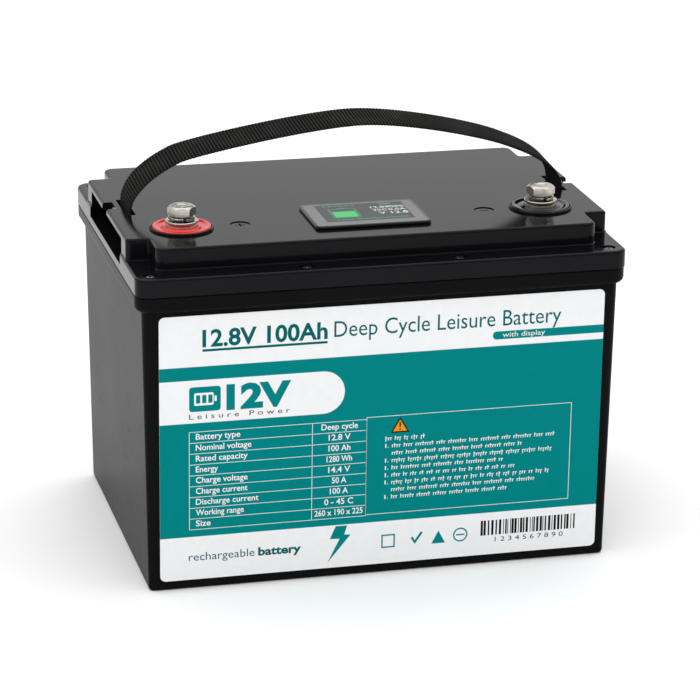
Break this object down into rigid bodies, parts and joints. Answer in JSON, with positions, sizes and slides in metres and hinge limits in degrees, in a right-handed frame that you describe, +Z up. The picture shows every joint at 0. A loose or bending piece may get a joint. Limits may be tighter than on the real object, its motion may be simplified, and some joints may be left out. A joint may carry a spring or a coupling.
{
  "type": "deep cycle battery",
  "caption": "Sealed rechargeable leisure battery: rim-edged black case and raised cover, bolted terminals, flush display, printed front label and arched webbing carrying strap.",
  "frame": {"origin": "middle of the flat base", "axes": "+X along the length with the negative terminal on the +X side, -Y out of the labelled front, +Z up out of the cover"},
  "size_m": [0.26, 0.19, 0.2286],
  "materials": {
    "case_plastic": "fine satin black moulding",
    "cover_plastic": "gloss black moulding",
    "seal_rubber": "matt",
    "screw_steel": "blackened steel",
    "label_film": "satin printed film",
    "display_plastic": "satin black",
    "display_window": "clear grey window over the panel",
    "display_panel": "dark liquid crystal panel",
    "circuit_board": "green solder mask",
    "ribbon": "light insulation",
    "red_plastic": "red moulding",
    "black_plastic": "black moulding",
    "terminal_metal": "nickel plated",
    "bolt_steel": "stainless",
    "webbing": "ribbed woven webbing",
    "anchor_steel": "plain",
    "cell_can": "drawn can",
    "spacer_sheet": "insulating sheet",
    "band_steel": "strip",
    "link_copper": "bare copper",
    "heatsink_metal": "plain",
    "lead_red": "silicone insulation",
    "lead_black": "silicone insulation",
    "foam": "closed cell foam"
  },
  "bodies": {
    "root": {"case": "case_plastic", "cover": "cover_plastic", "lid_gasket": "seal_rubber", "terminal_seal_positive": "seal_rubber", "terminal_seal_negative": "seal_rubber", "lid_screw_1": "screw_steel", "lid_screw_2": "screw_steel", "lid_screw_3": "screw_steel", "lid_screw_4": "screw_steel", "lid_screw_5": "screw_steel", "lid_screw_6": "screw_steel", "lid_screw_7": "screw_steel", "lid_screw_8": "screw_steel", "front_label": "label_film", "display_bezel": "display_plastic", "display_lens": "display_window", "display_screen": "display_panel", "display_board": "circuit_board", "bms_board": "circuit_board", "display_cable": "ribbon", "sense_harness": "ribbon", "terminal_ring_positive": "red_plastic", "terminal_ring_negative": "black_plastic", "terminal_insert_positive": "terminal_metal", "terminal_insert_negative": "terminal_metal", "strap_end_left": "webbing", "strap_end_right": "webbing", "strap_anchor_left": "anchor_steel", "strap_anchor_right": "anchor_steel", "cell_1": "cell_can", "cell_2": "cell_can", "cell_3": "cell_can", "cell_4": "cell_can", "end_plate_left": "cell_can", "end_plate_right": "cell_can", "cell_spacer_1": "spacer_sheet", "cell_spacer_2": "spacer_sheet", "cell_spacer_3": "spacer_sheet", "pack_band_lower": "band_steel", "pack_band_upper": "band_steel", "cell_link_1": "link_copper", "cell_link_2": "link_copper", "cell_link_3": "link_copper", "bms_heatsink": "heatsink_metal", "positive_lead": "lead_red", "negative_lead": "lead_black", "negative_output_lead": "lead_black", "temperature_probe": "lead_black", "foam_base": "foam", "foam_side_left": "foam", "foam_side_right": "foam", "foam_top": "foam"},
    "strap_loop": {"strap": "webbing"},
    "positive_washers": {"flat_washer_positive": "bolt_steel", "spring_washer_positive": "bolt_steel"},
    "positive_bolt": {"terminal_bolt_positive": "bolt_steel"},
    "negative_washers": {"flat_washer_negative": "bolt_steel", "spring_washer_negative": "bolt_steel"},
    "negative_bolt": {"terminal_bolt_negative": "bolt_steel"}
  },
  "joints": [
    {"name": "strap_swing", "type": "hinge", "parent": "root", "child": "strap_loop", "pos_m": [0, 0, 0.184], "axis": [1, 0, 0], "range_deg": [-25, 25], "stiffness_Nm_per_rad": 0.04},
    {"name": "positive_washer_lift", "type": "slide", "parent": "root", "child": "positive_washers", "axis": [0, 0, 1], "range_m": [0, 0.0126]},
    {"name": "positive_bolt_turn", "type": "hinge", "parent": "positive_washers", "child": "positive_bolt", "pos_m": [-0.097, -0.044, 0.19], "axis": [0, 0, 1], "range_deg": [0, 3600]},
    {"name": "negative_washer_lift", "type": "slide", "parent": "root", "child": "negative_washers", "axis": [0, 0, 1], "range_m": [0, 0.0126]},
    {"name": "negative_bolt_turn", "type": "hinge", "parent": "negative_washers", "child": "negative_bolt", "pos_m": [0.097, -0.044, 0.19], "axis": [0, 0, 1], "range_deg": [0, 3600]}
  ],
  "couplings": [
    {"joint": "positive_washer_lift", "follows": "positive_bolt_turn", "m_per_rad": 0.00019894},
    {"joint": "negative_washer_lift", "follows": "negative_bolt_turn", "m_per_rad": 0.00019894}
  ]
}
